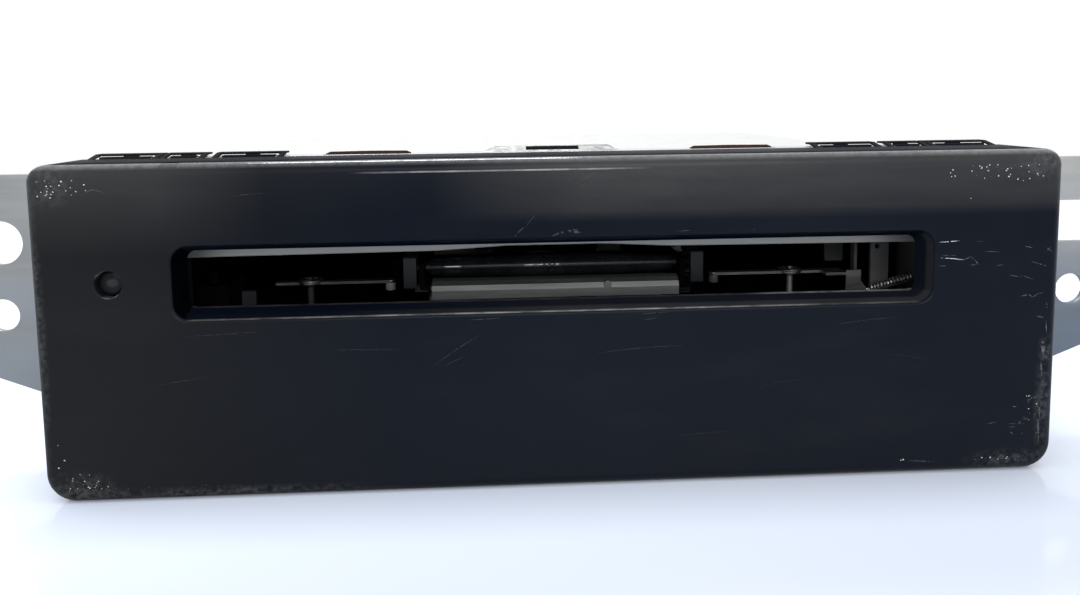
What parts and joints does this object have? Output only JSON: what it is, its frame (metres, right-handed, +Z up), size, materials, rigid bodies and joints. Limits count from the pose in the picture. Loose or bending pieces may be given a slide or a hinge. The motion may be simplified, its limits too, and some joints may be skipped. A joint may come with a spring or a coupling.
{
  "type": "slot-loading car disc player",
  "caption": "Car disc player with a wide bevelled disc slot in a black front, a steel case with side mounting ears, and the loading, clamping and reading drive inside.",
  "frame": {"origin": "middle of the bottom of the whole part's box", "axes": "+X to the right as seen from the front, +Y from the front to the rear, +Z up"},
  "size_m": [0.236, 0.194, 0.0597],
  "materials": {
    "black_plastic": "satin moulded black",
    "dark_plastic": "moulded dark grey",
    "lever_steel": "blackened steel strip",
    "lens": "clear moulded",
    "lamp": "white package",
    "circuit_board": "green solder mask",
    "zinc_sheet": "galvanised sheet",
    "steel_sheet": "plated sheet",
    "screw_steel": "plated screws",
    "bright_steel": "ground steel",
    "motor_steel": "drawn steel can",
    "rubber": "black rubber",
    "nylon": "natural nylon",
    "amber_flex": "amber film",
    "aluminium": "extruded"
  },
  "bodies": {
    "case": {"front_bezel": "black_plastic", "rear_socket": "black_plastic", "board_capacitors": "black_plastic", "board_chips": "dark_plastic", "detect_switch": "dark_plastic", "indicator_lens": "lens", "indicator_led": "lamp", "indicator_board": "circuit_board", "main_board": "circuit_board", "front_plate": "zinc_sheet", "chassis": "zinc_sheet", "top_cover": "zinc_sheet", "motor_bracket": "zinc_sheet", "left_bracket": "steel_sheet", "right_bracket": "steel_sheet", "deck_plate": "steel_sheet", "upper_guide": "steel_sheet", "front_screws": "screw_steel", "cover_screws": "screw_steel", "bracket_screws": "screw_steel", "board_screws": "screw_steel", "damper_posts": "screw_steel", "stopper_pin": "bright_steel", "bracket_shaft": "bright_steel", "lever_clips": "bright_steel", "lever_spring": "bright_steel", "clamp_pin": "bright_steel", "guide_rods": "bright_steel", "socket_pins": "bright_steel", "loading_motor": "motor_steel", "spindle_motor": "motor_steel", "sled_motor": "motor_steel", "drive_belt": "rubber", "damper_bushes": "rubber", "rod_blocks": "nylon", "ribbon_socket": "nylon", "flex_cable": "nylon", "front_flex": "amber_flex", "heat_sink": "aluminium"},
    "disc_stopper": {"disc_stopper": "black_plastic"},
    "roller_bracket": {"roller_bracket": "steel_sheet"},
    "loading_roller": {"loading_roller": "rubber", "roller_shaft": "bright_steel", "roller_gear": "nylon"},
    "front_idler": {"front_idler": "nylon"},
    "rear_idler": {"rear_idler": "nylon"},
    "drive_gear": {"drive_gear": "nylon"},
    "motor_pulley": {"motor_pulley": "nylon"},
    "left_lever": {"left_lever": "lever_steel", "left_bush": "nylon"},
    "right_lever": {"right_lever": "lever_steel", "right_bush": "nylon"},
    "turntable": {"turntable": "dark_plastic", "turntable_mat": "rubber"},
    "clamp_arm": {"clamp_arm": "zinc_sheet"},
    "clamper": {"clamper": "black_plastic"},
    "pickup": {"pickup_sled": "dark_plastic", "pickup_lens": "lens"},
    "lead_screw": {"lead_screw": "bright_steel"}
  },
  "joints": [
    {"name": "stopper_lift", "type": "hinge", "parent": "case", "child": "disc_stopper", "pos_m": [0, -0.053, 0.0451], "axis": [-1, 0, 0], "range_deg": [0, 15]},
    {"name": "clamp_swing", "type": "hinge", "parent": "case", "child": "clamp_arm", "pos_m": [0, 0.055, 0.0452], "axis": [1, 0, 0], "range_deg": [0, 3.6]},
    {"name": "clamper_spin", "type": "hinge", "parent": "clamp_arm", "child": "clamper", "pos_m": [0, -0.017, 0.0452], "axis": [0, 0, 1], "continuous": true},
    {"name": "roller_drop", "type": "hinge", "parent": "case", "child": "roller_bracket", "pos_m": [0, -0.05111, 0.03302], "axis": [1, 0, 0], "range_deg": [0, 6.3]},
    {"name": "roller_spin", "type": "hinge", "parent": "roller_bracket", "child": "loading_roller", "pos_m": [0, -0.072, 0.0354], "axis": [1, 0, 0], "continuous": true},
    {"name": "front_idler_spin", "type": "hinge", "parent": "roller_bracket", "child": "front_idler", "pos_m": [0.0277, -0.06708, 0.03233], "axis": [1, 0, 0], "continuous": true},
    {"name": "rear_idler_spin", "type": "hinge", "parent": "roller_bracket", "child": "rear_idler", "pos_m": [0.0277, -0.05908, 0.03233], "axis": [1, 0, 0], "continuous": true},
    {"name": "drive_spin", "type": "hinge", "parent": "roller_bracket", "child": "drive_gear", "pos_m": [0.0277, -0.05111, 0.03302], "axis": [1, 0, 0], "continuous": true},
    {"name": "motor_spin", "type": "hinge", "parent": "case", "child": "motor_pulley", "pos_m": [0.0305, -0.03461, 0.0164], "axis": [1, 0, 0], "continuous": true},
    {"name": "right_lever_swing", "type": "hinge", "parent": "case", "child": "right_lever", "pos_m": [0.0471, -0.077, 0.0337], "axis": [0, 0, -1], "range_deg": [0, 30], "stiffness_Nm_per_rad": 0.004, "springref_deg": -14.32, "deforming": ["lever_spring"]},
    {"name": "left_lever_swing", "type": "hinge", "parent": "case", "child": "left_lever", "pos_m": [-0.0471, -0.077, 0.0337], "axis": [0, 0, 1], "range_deg": [0, 30]},
    {"name": "turntable_spin", "type": "hinge", "parent": "case", "child": "turntable", "pos_m": [0, -0.017, 0.0357], "axis": [0, 0, 1], "continuous": true},
    {"name": "pickup_slide", "type": "slide", "parent": "case", "child": "pickup", "axis": [0, 1, 0], "range_m": [0, 0.034]},
    {"name": "screw_spin", "type": "hinge", "parent": "case", "child": "lead_screw", "pos_m": [-0.0275, 0.023, 0.0295], "axis": [0, 1, 0], "range_deg": [0, 4090]}
  ],
  "couplings": [
    {"joint": "roller_drop", "follows": "clamp_swing", "ratio": 1.75},
    {"joint": "front_idler_spin", "follows": "roller_spin", "ratio": -0.45},
    {"joint": "rear_idler_spin", "follows": "roller_spin", "ratio": 0.45},
    {"joint": "drive_spin", "follows": "roller_spin", "ratio": -0.45},
    {"joint": "motor_spin", "follows": "roller_spin", "ratio": -0.45},
    {"joint": "left_lever_swing", "follows": "right_lever_swing", "ratio": 1},
    {"joint": "screw_spin", "follows": "pickup_slide", "rad_per_m": 2094.4}
  ]
}
